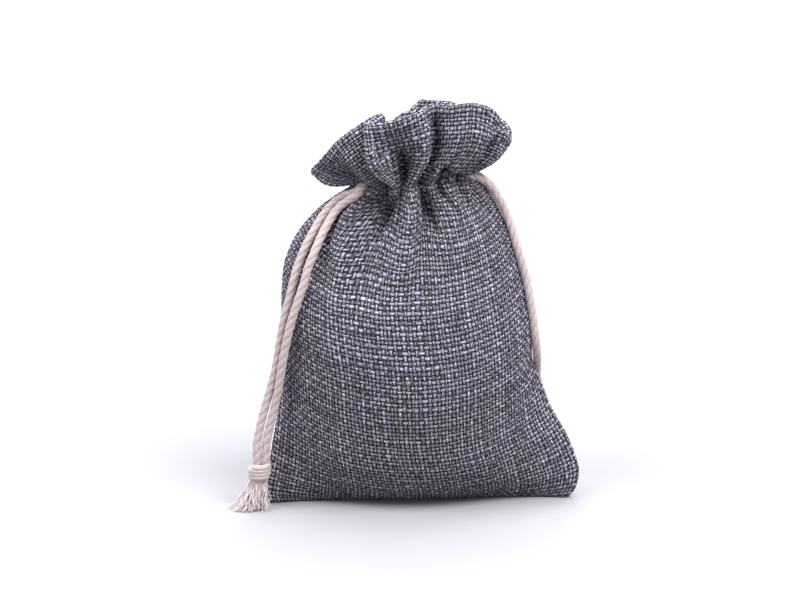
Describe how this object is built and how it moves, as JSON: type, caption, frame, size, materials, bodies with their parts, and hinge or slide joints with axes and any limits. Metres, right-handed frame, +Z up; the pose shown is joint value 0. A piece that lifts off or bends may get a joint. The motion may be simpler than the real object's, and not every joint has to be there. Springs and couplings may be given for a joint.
{
  "type": "drawstring sack",
  "caption": "Small filled drawstring sack of coarse grey burlap, standing on its base, with a gathered neck, flared ruffle and twisted cotton drawcords knotted at the sides.",
  "frame": {"origin": "on the floor under the middle of the sack's own box, without its cords", "axes": "+X to the sack's right as seen from its front, +Y from its front to its back, +Z up"},
  "size_m": [0.109, 0.0527, 0.1313],
  "materials": {
    "burlap": "heathered plain weave",
    "cotton": "matte twisted cotton"
  },
  "bodies": {
    "root": {"sack": "burlap", "left_cord_outer": "cotton", "left_cord_inner": "cotton", "right_cord_outer": "cotton", "right_cord_inner": "cotton", "left_knot": "cotton", "right_knot": "cotton"}
  },
  "joints": []
}
